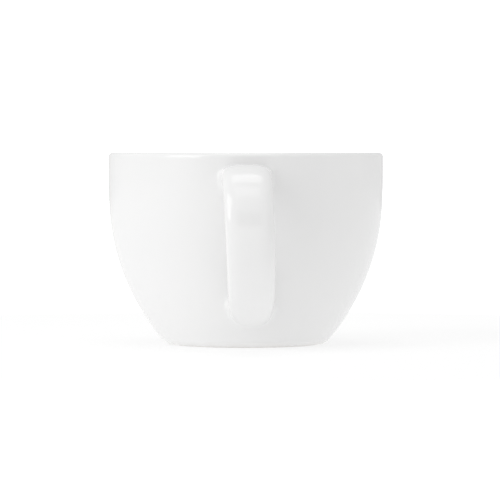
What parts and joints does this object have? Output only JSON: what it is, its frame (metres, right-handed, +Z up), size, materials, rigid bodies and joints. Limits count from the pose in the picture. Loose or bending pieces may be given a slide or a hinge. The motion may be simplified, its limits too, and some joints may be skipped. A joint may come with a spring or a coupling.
{
  "type": "shaving mug",
  "caption": "Wide white porcelain shaving mug with rounded bowl, upright rim, plain foot ring and one broad strap handle, for whipping soap lather with a brush.",
  "frame": {"origin": "centre of the foot ring's bearing face, on the mug's own axis and on the surface it stands on", "axes": "+Z up along the bowl's axis, the handle stands out along -Y, +X to the right as seen from the handle's side"},
  "size_m": [0.096, 0.123, 0.0669],
  "materials": {
    "porcelain": "matte",
    "slip": "matte",
    "glaze": "gloss"
  },
  "bodies": {
    "root": {"bowl": "porcelain", "handle": "porcelain", "upper_joint_slip": "slip", "lower_joint_slip": "slip", "glaze_coat": "glaze", "foot_well_glaze": "glaze"}
  },
  "joints": []
}
